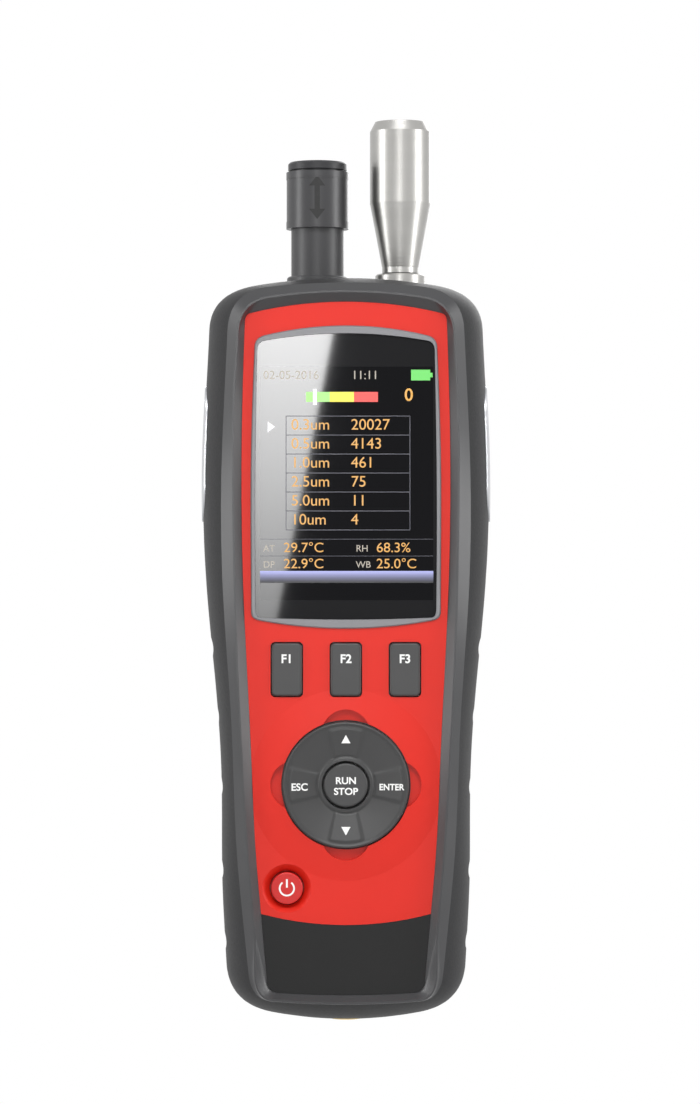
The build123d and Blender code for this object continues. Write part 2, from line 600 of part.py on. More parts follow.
def nav_gimbal():
    """Carrier between the ring, which rocks on it about X, and the floor, in which it rocks about Z."""
    inner = HUB_R + 0.4
    span = (FLOOR_Y + 0.2, FLOOR_BACK - 0.4)
    z = RING_Z * tall
    carrier = rod_y(0, z, gimbal_outer(), *span) - rod_y(0, z, inner, span[0] - 1, span[1] + 1)
    carrier -= rod_x(RING_TILT_Y, z, TRUNNION_R + RUN, -gimbal_outer() - 1, gimbal_outer() + 1)
    for side in (-1, 1):
        low, high = sorted((side * (gimbal_outer() - 0.3), side * (gimbal_outer() + KEY_GAP + 0.9)))
        carrier += rod_z(0, RING_TILT_Y, TRUNNION_R, z + low, z + high)
    return carrier


def plunger_places():
    return [*key_places(), *ring_switch_places(), (0, RING_Z * tall), power_place()]


def keypad_mat():
    low, high = 29.8 * tall, 101.6 * tall
    half = 20.9 * wide
    rim = 1.2
    mat = block((-half, half), (MAT_FRONT, BOARD_FRONT), (low, high))
    mat -= block((-half + rim, half - rim), (MAT_WEB_BACK, BOARD_FRONT + 1), (low + rim, high - rim))
    for x, z in plunger_places():
        mat -= rod_y(x, z, PLUNGER_R + KEY_GAP, MAT_FRONT - 1, MAT_WEB_BACK + 1)
    return mat


def dome_switches():
    return Compound([rod_y(x, z, 2.2, DOME_FRONT, BOARD_FRONT).solid() for x, z in plunger_places()])


def main_board():
    lower = block((-BOARD_HALF_LOW * wide, BOARD_HALF_LOW * wide), (BOARD_FRONT, BOARD_BACK),
                  (BOARD_LOW * tall, BOARD_STEP * tall))
    upper = block((-BOARD_HALF_HIGH * wide, BOARD_HALF_HIGH * wide), (BOARD_FRONT, BOARD_BACK),
                  (BOARD_STEP * tall, BOARD_HIGH * tall))
    board = lower + upper
    for x, z in boss_places():
        board -= rod_y(x, z, BOSS_R + 0.4, BOARD_FRONT - 1, BOARD_BACK + 1)
    for x, z in post_places():
        board -= rod_y(x, z, BOARD_SCREW_R + 0.15, BOARD_FRONT - 1, BOARD_BACK + 1)
    return board


def board_shield():
    return block((-17, 9), (BOARD_BACK, BOARD_BACK + 2.4), (118 * tall, 150 * tall))


def buzzer():
    return rod_y(-12, 165 * tall, 6.0, BOARD_BACK, BOARD_BACK + 3.4)


# ---------------------------------------------------------------- fasteners
def screw_y(x, z, seat, tip, head=SCREW_HEAD, head_r=SCREW_HEAD_R, radius=SCREW_R):
    """A screw whose head lies behind seat and whose tip points forward."""
    drive = rod_y(x, z, head_r * 0.4, seat + head / 2, seat + head)
    return (rod_y(x, z, radius, tip, seat) + rod_y(x, z, head_r, seat, seat + head) - drive).solid()


def housing_screws():
    return Compound([screw_y(x, z, SCREW_SEAT_Y, SPLIT_Y - SCREW_DEPTH) for x, z in boss_places()])


def board_screws():
    return Compound([screw_y(x, z, BOARD_BACK, FLOOR_BACK + 0.6, BOARD_HEAD, BOARD_HEAD_R, BOARD_SCREW_R)
                     for x, z in post_places()])


def door_screws():
    seat = HANDLE_BACK - DOOR_THICK / 2
    return Compound([screw_y(0, z * tall, seat, HANDLE_BACK - 7, DOOR_THICK / 2) for z in DOOR_SCREWS])


def module_screw_places():
    (x0, x1), _, (z0, z1) = CHAMBER
    (p0, p1), _, (q0, q1) = PUMP
    edge = BOSS_R
    return [(x0 + edge, z0 * tall + edge), (x1 - edge, z1 * tall - edge),
            (p0 + 1.8, q0 * tall + edge), (p1 - 1.8, q1 * tall - edge)]


def module_back(z):
    return CHAMBER[1][1] if z > CHAMBER[2][0] * tall else PUMP[1][1]


def module_screws():
    screws = []
    for x, z in module_screw_places():
        front = (CHAMBER if z > CHAMBER[2][0] * tall else PUMP)[1][0]
        shank = rod_y(x, z, SCREW_R - 0.1, front, HEAD_BACK - BACK_WALL - 1.0)
        screws.append((shank + rod_y(x, z, SCREW_HEAD_R - 0.6, front - 1.4, front)).solid())
    return Compound(screws)


# ---------------------------------------------------------------- shuttered sensor
def sensor_stem():
    thread = rod_z(SENSOR_X, PROBE_Y, STEM_BORE + 1.0, PAD_Z - 3.4, SEAT_Z)
    flange = rod_z(SENSOR_X, PROBE_Y, STEM_FLANGE_R, SEAT_Z, BODY_HEIGHT + STEM_FLANGE_TOP)
    flange = chamfer([e for e in flange.edges() if e.bounding_box().min.Z > BODY_HEIGHT], 0.4)
    tube = rod_z(SENSOR_X, PROBE_Y, STEM_R, SEAT_Z, SHOULDER_Z)
    return thread + flange + tube - rod_z(SENSOR_X, PROBE_Y, STEM_BORE, PAD_Z - 5, SHOULDER_Z + 1)


def sensor_cage():
    top = SHOULDER_Z + CAGE_HEIGHT
    cage = rod_z(SENSOR_X, PROBE_Y, STEM_R, SHOULDER_Z, top)
    cage -= rod_z(SENSOR_X, PROBE_Y, STEM_BORE, SHOULDER_Z - 1, top + 1)
    cage -= Pos(SENSOR_X, PROBE_Y, SHOULDER_Z + 1.5) * Torus(STEM_R - 0.5, 0.55)
    for i in range(CAGE_SLOTS):
        slot = block((0, STEM_R + 2), (-CAGE_SLOT / 2, CAGE_SLOT / 2), (SHOULDER_Z + 4.2, top - 1.8))
        cage -= Pos(SENSOR_X, PROBE_Y, 0) * Rot(0, 0, 45 + 360 / CAGE_SLOTS * i) * slot
    return cage


def sleeve_ring():
    return Pos(SENSOR_X, PROBE_Y, SHOULDER_Z + 1.5) * Torus(STEM_R - 0.5, 0.5)


def sensor_cap():
    low = SHOULDER_Z + CAGE_HEIGHT
    disc = rod_z(SENSOR_X, PROBE_Y, CAP_R, low, low + CAP_THICK)
    disc = chamfer([e for e in disc.edges() if e.bounding_box().min.Z > low + 0.1], 0.5)
    return disc + rod_z(SENSOR_X, PROBE_Y, STEM_BORE - FIT, low - 1.2, low)


def sensor_sleeve():
    low = SHOULDER_Z + SLEEVE_LIFT
    high = low + SLEEVE_LENGTH
    band = 1.9
    profile = ((STEM_R + RUN + 0.04, low), (SLEEVE_R + SLEEVE_RIB, low), (SLEEVE_R + SLEEVE_RIB, low + band),
               (SLEEVE_R, low + band), (SLEEVE_R, high - band), (SLEEVE_R + SLEEVE_RIB, high - band),
               (SLEEVE_R + SLEEVE_RIB, high), (STEM_R + RUN + 0.04, high))
    return turned_z(SENSOR_X, PROBE_Y, profile)


def pad_nut(x, thread_r, across):
    """A hexagonal nut that pulls a probe's flange down from inside the crown."""
    nut = Pos(x, PROBE_Y, PAD_Z - NUT_THICK) * extrude(RegularPolygon(across, 6), amount=NUT_THICK)
    return nut - rod_z(x, PROBE_Y, thread_r + FIT, PAD_Z - 5, PAD_Z + 1)


def stem_nut():
    return pad_nut(SENSOR_X, STEM_BORE + 1.0, STEM_BORE + 3.4)


def humidity_sensor():
    low = SHOULDER_Z - 6
    board = block((SENSOR_X - 3.2, SENSOR_X + 3.2), (PROBE_Y - 0.8, PROBE_Y + 0.8), (low, low + 18))
    chip = block((SENSOR_X - 1.6, SENSOR_X + 1.6), (PROBE_Y - 2.0, PROBE_Y - 0.8), (low + 12, low + 16))
    return board + chip


# ---------------------------------------------------------------- inlet
def inlet_spigot():
    top = BODY_HEIGHT + SPIGOT_FLANGE_TOP
    barb_low = PAD_Z - 10
    solid = rod_z(INLET_X, PROBE_Y, SPIGOT_FLANGE_R, SEAT_Z, top)
    solid = chamfer([e for e in solid.edges() if e.bounding_box().min.Z > top - 0.1], 0.4)
    solid += rod_z(INLET_X, PROBE_Y, SPIGOT_R, top, top + SPIGOT_HEIGHT)
    solid += rod_z(INLET_X, PROBE_Y, SPIGOT_R + 0.8, PAD_Z - 3.4, SEAT_Z)
    solid += rod_z(INLET_X, PROBE_Y, BARB_R, barb_low, PAD_Z - 3.4)
    return solid - rod_z(INLET_X, PROBE_Y, PROBE_DUCT_R - 0.3, barb_low - 1, top + SPIGOT_HEIGHT + 1)


def inlet_gasket():
    low = BODY_HEIGHT + SPIGOT_FLANGE_TOP
    return (rod_z(INLET_X, PROBE_Y, PROBE_NECK_R - 0.2, low, low + GASKET)
            - rod_z(INLET_X, PROBE_Y, SPIGOT_R + FIT, low - 1, low + 1))


def inlet_probe():
    low = BODY_HEIGHT + SPIGOT_FLANGE_TOP + GASKET + FIT
    socket_top = low + SPIGOT_HEIGHT + 0.4
    crown = BODY_HEIGHT
    throat = crown + PROBE_TOP - MOUTH_DEPTH
    profile = ((SPIGOT_R + RUN, low), (PROBE_NECK_R, low), (PROBE_NECK_R, crown + PROBE_NECK_TOP),
               (PROBE_R, crown + PROBE_CREASE), (PROBE_R, crown + PROBE_CHAMFER),
               (PROBE_RIM_R, crown + PROBE_TOP), (MOUTH_R, crown + PROBE_TOP), (MOUTH_R, throat),
               (PROBE_DUCT_R, throat - 16), (PROBE_DUCT_R, socket_top), (SPIGOT_R + RUN, socket_top))
    return turned_z(INLET_X, PROBE_Y, profile)


def spigot_nut():
    return pad_nut(INLET_X, SPIGOT_R + 0.8, SPIGOT_R + 3.2)


def hose(x, y, bore, outer, z0, z1):
    return rod_z(x, y, outer, z0, z1) - rod_z(x, y, bore + FIT, z0 - 1, z1 + 1)


def inlet_tube():
    return hose(INLET_X, PROBE_Y, BARB_R, TUBE_R, CHAMBER[2][1] * tall + 0.5, PAD_Z - 4.5)


def optical_chamber():
    x, y, z = CHAMBER
    z = (z[0] * tall, z[1] * tall)
    middle = sum(z) / 2
    body = block(x, y, z)
    body += rod_z(INLET_X, PROBE_Y, BARB_R, z[0] - 2.8, z[1] + 5)
    body -= rod_z(INLET_X, PROBE_Y, PROBE_DUCT_R - 0.3, z[0] - 4, z[1] + 6)
    body -= rod_x(PROBE_Y, middle, 3.0 + FIT, x[0] - 1, INLET_X)
    body -= rod_y(INLET_X, middle, 5.0 + FIT, PROBE_Y, y[1] + 1)
    for sx, sz in module_screw_places()[:2]:
        body -= rod_y(sx, sz, SCREW_R, y[0] - 1, y[1] + 1)
    return body


def laser_module():
    middle = sum(CHAMBER[2]) / 2 * tall
    side = CHAMBER[0][0]
    return (rod_x(PROBE_Y, middle, 3.0, side - 8, INLET_X - 5)
            + rod_x(PROBE_Y, middle, 4.2, side - 8, side - FIT))


def detector_board():
    x, y, z = CHAMBER
    middle = sum(z) / 2 * tall
    board = block((INLET_X - 6, INLET_X + 6), (y[1], y[1] + 1.6), (middle - 6, middle + 6))
    return board + rod_y(INLET_X, middle, 4.2, y[1] - 3.5, y[1])


def scatter_mirror():
    middle = sum(CHAMBER[2]) / 2 * tall
    disc = rod_y(INLET_X, middle, 5.0, PROBE_Y + 5, PROBE_Y + 7)
    return disc - rod_y(INLET_X, middle, 2.2, PROBE_Y, PROBE_Y + 8)


def pump_axis():
    return sum(PUMP[0]) / 2, sum(PUMP[1]) / 2


def pump_housing():
    x, y, z = PUMP
    z = (z[0] * tall, z[0] * tall + PUMP[2][1] - PUMP[2][0])
    cx, cy = pump_axis()
    body = block(x, y, z) - rod_z(cx, cy, PUMP_BORE_R, z[0] + 2, z[1] - 2)
    body += rod_z(INLET_X, PROBE_Y, BARB_R, z[1], z[1] + 2.6)
    body -= rod_z(INLET_X, PROBE_Y, PROBE_DUCT_R - 0.3, z[1] - 2.5, z[1] + 3)
    body += rod_z(EXHAUST_X, EXHAUST_Y, EXHAUST_BARB_R, z[0] - 5, z[0])
    for sx, sz in module_screw_places()[2:]:
        body -= rod_y(sx, sz, SCREW_R, y[0] - 1, y[1] + 1)
    return body


def pump_motor():
    cx, cy = pump_axis()
    low = PUMP[2][0] * tall + 2
    motor = rod_z(cx, cy, MOTOR_R, low, low + MOTOR_HEIGHT)
    return motor - rod_z(cx, cy, SHAFT_R + RUN, low + 3, low + MOTOR_HEIGHT + 1)


def pump_rotor():
    cx, cy = pump_axis()
    motor_top = PUMP[2][0] * tall + 2 + MOTOR_HEIGHT
    disc_low = motor_top + 1.0
    rotor = rod_z(cx, cy, SHAFT_R, motor_top - 8, disc_low + 6)
    rotor += rod_z(cx, cy, IMPELLER_R, disc_low, disc_low + 1.4)
    for i in range(6):
        vane = block((SHAFT_R - 0.2, IMPELLER_R - 0.3), (-0.4, 0.4), (disc_low + 1.4, disc_low + 5.2))
        rotor += Pos(cx, cy, 0) * Rot(0, 0, 60 * i) * vane
    return rotor


def pump_tube():
    pump_top = PUMP[2][0] * tall + PUMP[2][1] - PUMP[2][0]
    return hose(INLET_X, PROBE_Y, BARB_R, TUBE_R, pump_top + 0.2, CHAMBER[2][0] * tall - 0.2)


def exhaust_tube():
    return hose(EXHAUST_X, EXHAUST_Y, EXHAUST_BARB_R, EXHAUST_TUBE_R, 13.0, PUMP[2][0] * tall - 0.5)


def exhaust_port():
    solid = rod_z(EXHAUST_X, EXHAUST_Y, EXHAUST_FITTING_R, 2.4, 12.0)
    solid += rod_z(EXHAUST_X, EXHAUST_Y, EXHAUST_BARB_R, 12.0, 17.0)
    return solid - rod_z(EXHAUST_X, EXHAUST_Y, 1.1, 0, 18)


# ---------------------------------------------------------------- battery and foot
def battery_pack():
    gap = 0.3
    return block((BAY_X[0] + gap, BAY_X[1] - gap), (BAY_FRONT, HANDLE_BACK - DOOR_THICK - 0.6),
                 (BAY_Z[0] * tall, BAY_Z[1] * tall - 0.8))


def battery_contacts():
    top = BAY_Z[1] * tall
    return Compound([block((x - 2, x + 2), (3, 7), (top - 0.8, top)).solid() for x in (-9.0, 5.0)])


def battery_door():
    half = DOOR_HALF * wide
    low, high = DOOR_LOW * tall, DOOR_HIGH * tall
    door = block((-half, half), (HANDLE_BACK - DOOR_THICK, HANDLE_BACK), (low, high))
    for z in DOOR_SCREWS:
        door -= rod_y(0, z * tall, SCREW_R + FIT, HANDLE_BACK - 3, HANDLE_BACK + 1)
        door -= rod_y(0, z * tall, SCREW_HEAD_R + FIT, HANDLE_BACK - DOOR_THICK / 2, HANDLE_BACK + 1)
    return door


def tripod_insert():
    outer = rod_z(0, 0, SOCKET_OUTER_R, 0.0, SOCKET_DEPTH + 1.4)
    return outer - rod_z(0, 0, SOCKET_R, -1, SOCKET_DEPTH)


def usb_socket():
    shell = block(USB_X, (-USB_HALF_Y, USB_HALF_Y), USB_Z)
    half = USB_HALF_Y - USB_SHEET
    mouth = block((USB_X[0] + USB_SHEET, USB_X[1] - USB_SHEET), (-half, half), (USB_Z[0] - 1, USB_Z[1] - 2.5))
    tongue = block((USB_X[0] + 1.6, USB_X[1] - 1.6), (-0.3, 0.3), (USB_Z[0] + 1.5, USB_Z[1] - 2.5))
    return shell - mouth + tongue


def port_cover():
    plate = block(PORT_X, (-PORT_HALF_Y, PORT_HALF_Y), (-5, 12))
    return (case_form(0.0) - case_form(SKIN)) & plate


# ---------------------------------------------------------------- trim
def side_inlay(side):
    plate = (case_form(-INLAY_PROUD) - case_form(INLAY_DEPTH)) & inlay_shape(side, 0.0)
    middle = sum(INLAY_Z) / 2 * tall
    for i in range(SLOTS):
        z = middle + (i - (SLOTS - 1) / 2) * SLOT_PITCH
        low, high = z - (SLOT_LENGTH - SLOT_WIDTH) / 2, z + (SLOT_LENGTH - SLOT_WIDTH) / 2
        slot = block((20, BODY_WIDTH), (-SLOT_WIDTH / 2, SLOT_WIDTH / 2), (low, high))
        slot += rod_x(0, low, SLOT_WIDTH / 2, 20, BODY_WIDTH) + rod_x(0, high, SLOT_WIDTH / 2, 20, BODY_WIDTH)
        plate -= slot if side > 0 else mirror(slot, about=Plane.YZ)
    return plate


def camera_module():
    z = CAMERA_Z * tall
    barrel = rod_y(0, z, CAMERA_R, INSIDE_BACK - 6, HEAD_BACK - 1.0)
    return barrel - rod_y(0, z, 2.4, HEAD_BACK - 3, HEAD_BACK)


def camera_window():
    return rod_y(0, CAMERA_Z * tall, CAMERA_R + 1.1, HEAD_BACK - 1.0, HEAD_BACK - 0.2)


def camera_lights():
    return Compound([rod_y(x, CAMERA_Z * tall, LIGHT_R, INSIDE_BACK - 2, HEAD_BACK - 0.3).solid()
                     for x in LIGHT_X])


def rear_plate_shape(gap, back):
    height = (PLATE_Z[1] - PLATE_Z[0]) * tall
    return plate_y(0, sum(PLATE_Z) / 2 * tall, 2 * (PLATE_HALF + gap), height + 2 * gap, 2.0,
                   HEAD_BACK - PLATE_THICK - gap, back)


def rear_plate():
    return rear_plate_shape(0.0, HEAD_BACK)


PARTS = {
    "front_housing": front_housing, "rear_housing": rear_housing, "grip_jacket": grip_jacket,
    "housing_seal": housing_seal, "front_panel": front_panel, "chin_panel": chin_panel,
    "screen_bezel": screen_bezel, "screen_window": screen_window, "lcd_module": lcd_module,
    "f1_key": lambda: function_key(0), "f2_key": lambda: function_key(1), "f3_key": lambda: function_key(2),
    "nav_ring": nav_ring, "nav_gimbal": nav_gimbal, "run_stop_key": run_stop_key, "power_key": power_key,
    "keypad_mat": keypad_mat, "dome_switches": dome_switches, "main_board": main_board,
    "board_shield": board_shield, "buzzer": buzzer, "housing_screws": housing_screws,
    "board_screws": board_screws, "door_screws": door_screws, "module_screws": module_screws,
    "sensor_stem": sensor_stem, "sensor_cage": sensor_cage, "sleeve_ring": sleeve_ring,
    "sensor_cap": sensor_cap, "sensor_sleeve": sensor_sleeve, "stem_nut": stem_nut,
    "humidity_sensor": humidity_sensor, "inlet_spigot": inlet_spigot, "inlet_gasket": inlet_gasket,
    "inlet_probe": inlet_probe, "spigot_nut": spigot_nut, "inlet_tube": inlet_tube,
    "optical_chamber": optical_chamber, "laser_module": laser_module, "detector_board": detector_board,
    "scatter_mirror": scatter_mirror, "pump_housing": pump_housing, "pump_motor": pump_motor,
    "pump_rotor": pump_rotor, "pump_tube": pump_tube, "exhaust_tube": exhaust_tube,
    "exhaust_port": exhaust_port, "battery_pack": battery_pack, "battery_contacts": battery_contacts,
    "battery_door": battery_door, "tripod_insert": tripod_insert, "usb_socket": usb_socket,
    "port_cover": port_cover, "side_inlay_right": lambda: side_inlay(1),
    "side_inlay_left": lambda: side_inlay(-1), "camera_module": camera_module,
    "camera_window": camera_window, "camera_lights": camera_lights, "rear_plate": rear_plate,
}

os.makedirs("parts", exist_ok=True)
for name, make in PARTS.items():
    export_step(make(), os.path.join("parts", name + ".step"))
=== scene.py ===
import bpy
import bmesh
import json
import math
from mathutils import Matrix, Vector


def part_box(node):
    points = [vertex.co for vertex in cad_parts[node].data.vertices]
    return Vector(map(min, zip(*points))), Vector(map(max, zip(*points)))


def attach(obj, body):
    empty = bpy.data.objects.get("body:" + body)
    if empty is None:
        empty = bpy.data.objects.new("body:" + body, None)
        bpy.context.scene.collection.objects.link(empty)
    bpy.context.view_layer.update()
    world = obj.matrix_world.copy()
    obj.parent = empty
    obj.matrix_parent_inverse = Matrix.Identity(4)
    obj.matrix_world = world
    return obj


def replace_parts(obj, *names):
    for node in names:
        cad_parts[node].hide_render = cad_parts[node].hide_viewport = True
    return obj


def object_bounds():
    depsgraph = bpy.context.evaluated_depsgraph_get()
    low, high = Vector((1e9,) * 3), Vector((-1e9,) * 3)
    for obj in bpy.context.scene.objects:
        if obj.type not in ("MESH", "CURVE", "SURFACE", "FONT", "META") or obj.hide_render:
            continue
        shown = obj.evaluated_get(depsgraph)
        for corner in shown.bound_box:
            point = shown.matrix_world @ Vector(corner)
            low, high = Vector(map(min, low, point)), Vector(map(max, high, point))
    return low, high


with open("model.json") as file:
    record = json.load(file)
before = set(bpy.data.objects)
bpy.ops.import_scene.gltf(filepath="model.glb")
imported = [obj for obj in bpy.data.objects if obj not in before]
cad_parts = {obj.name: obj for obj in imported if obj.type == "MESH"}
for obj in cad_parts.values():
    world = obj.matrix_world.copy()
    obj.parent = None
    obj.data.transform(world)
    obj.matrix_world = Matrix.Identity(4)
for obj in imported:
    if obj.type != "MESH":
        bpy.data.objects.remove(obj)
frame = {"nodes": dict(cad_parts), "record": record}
cad_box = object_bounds()
MM = 0.001


# ---------------------------------------------------------------- materials
MOTTLE_SCALE = 60.0         # patches of colour per metre
GRAIN_DEPTH = 0.0001        # metres
LIT_GRAIN = 4000.0


def material(name, colour, rough, metallic=0.0, vary=0.12, grain=900.0, bump=0.15,
             stretch=(1, 1, 1), gloss=0.5):
    """A procedural finish: mottled colour, uneven roughness and a fine moulded or brushed grain."""
    made = bpy.data.materials.new(name)
    made.use_nodes = True
    nodes, links = made.node_tree.nodes, made.node_tree.links
    shader = nodes["Principled BSDF"]
    shader.inputs["Metallic"].default_value = metallic
    shader.inputs["Specular IOR Level"].default_value = gloss
    where = nodes.new("ShaderNodeTexCoord")
    mapping = nodes.new("ShaderNodeMapping")
    mapping.inputs["Scale"].default_value = stretch
    links.new(where.outputs["Object"], mapping.inputs["Vector"])
    broad, fine = nodes.new("ShaderNodeTexNoise"), nodes.new("ShaderNodeTexNoise")
    broad.inputs["Scale"].default_value = MOTTLE_SCALE
    fine.inputs["Scale"].default_value = grain
    fine.inputs["Detail"].default_value = 3.0
    for noise in (broad, fine):
        links.new(mapping.outputs["Vector"], noise.inputs["Vector"])
    tint = nodes.new("ShaderNodeValToRGB")
    tint.color_ramp.elements[0].color = (*[c * (1 - vary) for c in colour], 1)
    tint.color_ramp.elements[1].color = (*[min(c * (1 + vary), 1.0) for c in colour], 1)
    links.new(broad.outputs["Fac"], tint.inputs["Fac"])
    links.new(tint.outputs["Color"], shader.inputs["Base Color"])
    spread = nodes.new("ShaderNodeMapRange")
    spread.inputs["To Min"].default_value = rough * 0.85
    spread.inputs["To Max"].default_value = min(rough * 1.15, 1.0)
    links.new(fine.outputs["Fac"], spread.inputs["Value"])
    links.new(spread.outputs["Result"], shader.inputs["Roughness"])
    relief = nodes.new("ShaderNodeBump")
    relief.inputs["Strength"].default_value = bump
    relief.inputs["Distance"].default_value = GRAIN_DEPTH
    links.new(fine.outputs["Fac"], relief.inputs["Height"])
    links.new(relief.outputs["Normal"], shader.inputs["Normal"])
    return made


def glowing(name, colour):
    """A lit colour on the display, faintly uneven."""
    made = bpy.data.materials.new(name)
    made.use_nodes = True
    nodes, links = made.node_tree.nodes, made.node_tree.links
    shader = nodes["Principled BSDF"]
    shader.inputs["Base Color"].default_value = (*[c * 0.2 for c in colour], 1)
    shader.inputs["Roughness"].default_value = 0.3
    shader.inputs["Emission Strength"].default_value = 1.0
    speckle, tint = nodes.new("ShaderNodeTexNoise"), nodes.new("ShaderNodeValToRGB")
    speckle.inputs["Scale"].default_value = LIT_GRAIN
    tint.color_ramp.elements[0].color = (*[c * 0.9 for c in colour], 1)
    tint.color_ramp.elements[1].color = (*[min(c * 1.1, 1.0) for c in colour], 1)
    links.new(speckle.outputs["Fac"], tint.inputs["Fac"])
    links.new(tint.outputs["Color"], shader.inputs["Emission Color"])
    return made


FINISHES = {
    "case_plastic": material("housing_plastic", (0.024, 0.024, 0.026), 0.42,
                             grain=2500, bump=0.2, gloss=0.35),
    "jacket_rubber": material("jacket_rubber", (0.010, 0.010, 0.011), 0.56,
                              grain=1800, bump=0.3, gloss=0.3),
    "seal_rubber": material("seal_rubber", (0.04, 0.04, 0.04), 0.7),
    "red_plastic": material("red_plastic", (0.66, 0.018, 0.008), 0.40,
                            vary=0.04, grain=3000, bump=0.08, gloss=0.3),
    "chin_plastic": material("chin_plastic", (0.010, 0.010, 0.010), 0.40,
                             grain=2500, bump=0.12, gloss=0.25),
    "key_plastic": material("key_plastic", (0.046, 0.046, 0.046), 0.34, grain=2500, bump=0.12, gloss=0.35),
    "window_glass": material("window_glass", (0.010, 0.010, 0.011), 0.03, vary=0.02, bump=0.0, gloss=0.12),
    "screen": material("screen_black", (0.002, 0.002, 0.003), 0.03, bump=0.0, gloss=0.12),
    "steel": material("bright_steel", (0.42, 0.42, 0.43), 0.3, metallic=1.0, grain=1500),
    "inlet_metal": material("turned_metal", (0.40, 0.395, 0.38), 0.33, metallic=1.0, grain=900, bump=0.3,
                            vary=0.08, stretch=(0.12, 0.12, 4.0)),
    "brass": material("brass", (0.75, 0.55, 0.22), 0.3, metallic=1.0),
    "board": material("circuit_board", (0.02, 0.16, 0.06), 0.45),
    "silver_trim": material("silver_trim", (0.50, 0.51, 0.53), 0.33, metallic=0.85, grain=2500, bump=0.1),
    "black_plastic": material("black_plastic", (0.02, 0.02, 0.02), 0.5),
    "mirror": material("mirror", (0.9, 0.9, 0.9), 0.05, metallic=1.0, bump=0.0),
    "label": material("bare_label", (0.32, 0.32, 0.33), 0.45, metallic=0.4, grain=2500, bump=0.08),
}
OTHERS = {
    "screen_bezel": material("bezel_grey", (0.19, 0.19, 0.20), 0.33, vary=0.05, grain=2500, bump=0.08),
    "power_key": material("power_red", (0.55, 0.006, 0.004), 0.38, vary=0.04, bump=0.08),
    "sensor_stem": material("stem_plastic", (0.035, 0.035, 0.037), 0.42, grain=2000, bump=0.2),
    "sensor_sleeve": material("sleeve_plastic", (0.034, 0.034, 0.036), 0.34, grain=2000, bump=0.15),
    "front_housing": material("frame_plastic", (0.036, 0.036, 0.038), 0.33, grain=2500, bump=0.15),
}
INK = material("label_print", (0.85, 0.85, 0.83), 0.5, vary=0.03)
DARK_INK = material("engraved_dark", (0.006, 0.006, 0.006), 0.6)

slot_of = {entry["node"]: entry["material_slot"] for entry in frame["record"]["subparts"]}
for node, obj in frame["nodes"].items():
    finish = OTHERS.get(node, FINISHES[slot_of[node]])
    obj.data.materials.clear()
    obj.data.materials.append(finish)


# ---------------------------------------------------------------- helpers for pieces
PRINT_THICK = 0.02          # mm
CAPITAL_SHARE = 0.70        # height of a capital in a typeface of size 1


def add_mesh(name, vertices, faces, finish, body, smooth=False):
    mesh = bpy.data.meshes.new(name)
    mesh.from_pydata(vertices, [], faces)
    mesh.update()
    obj = bpy.data.objects.new(name, mesh)
    bpy.context.collection.objects.link(obj)
    mesh.materials.append(finish)
    if smooth:
        mesh.polygons.foreach_set("use_smooth", [True] * len(mesh.polygons))
    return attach(obj, body)


def face_outwards(piece):
    tidy = bmesh.new()
    tidy.from_mesh(piece.data)
    bmesh.ops.recalc_face_normals(tidy, faces=tidy.faces)
    tidy.to_mesh(piece.data)
    tidy.free()


def patch(name, points, depth, finish, body="case"):
    """A thin flat shape from (x, z) points in mm, its face towards -Y at depth."""
    front = [Vector((x, depth - PRINT_THICK, z)) * MM for x, z in points]
    back = [Vector((x, depth, z)) * MM for x, z in points]
    count = len(points)
    faces = [list(range(count)), list(range(2 * count - 1, count - 1, -1))]
    faces += [[i, (i + 1) % count, (i + 1) % count + count, i + count] for i in range(count)]
    piece = add_mesh(name, front + back, faces, finish, body)
    face_outwards(piece)
    return piece


def bar(name, x, z, depth, finish, body="case"):
    return patch(name, [(x[0], z[0]), (x[1], z[0]), (x[1], z[1]), (x[0], z[1])], depth, finish, body)


def words(name, text, x, z, depth, height, finish, body="case", align="CENTER", heavy=0.05, stretch=1.0):
    """Lettering whose capitals are height mm high, centred at z, lying on the surface at depth."""
    curve = bpy.data.curves.new(name, "FONT")
    curve.body = text
    curve.size = height / CAPITAL_SHARE * MM
    curve.align_x = align
    curve.align_y = "CENTER"
    curve.extrude = PRINT_THICK / 2 * MM
    curve.offset = heavy * MM
    curve.materials.append(finish)
    obj = bpy.data.objects.new(name, curve)
    bpy.context.collection.objects.link(obj)
    obj.rotation_euler = (math.pi / 2, 0, 0)
    obj.scale = (stretch, 1, 1)
    obj.location = Vector((x, depth - PRINT_THICK, z)) * MM
    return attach(obj, body)


def front_of(node):
    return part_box(node)[0].y / MM


# ---------------------------------------------------------------- display
window_y = front_of("screen_window")
LCD_X, LCD_Z = (-22.4, 22.8), (111.6, 172.5)
WHITE = glowing("lit_white", (0.85, 0.86, 0.88))
ROW_GREY = glowing("lit_grey", (0.05, 0.05, 0.07))
ORANGE = glowing("lit_orange", (0.72, 0.36, 0.05))
AMBER = glowing("lit_amber", (0.66, 0.33, 0.06))
DIM = glowing("lit_dim", (0.40, 0.36, 0.30))
lit_face = window_y - PRINT_THICK

bar("display_field", LCD_X, LCD_Z, window_y, FINISHES["screen"])
words("display_date", "02-05-2016", -21.6, 170.2, lit_face, 2.2, DIM, align="LEFT", heavy=0.0)
words("display_time", "11:11", 5.0, 170.2, lit_face, 2.2, DIM, heavy=0.0)
bar("battery_body", (17.0, 22.0), (168.9, 171.7), lit_face, glowing("lit_green", (0.12, 0.62, 0.10)))
bar("battery_tip", (22.0, 22.6), (169.7, 170.9), lit_face, glowing("lit_green_tip", (0.12, 0.62, 0.10)))

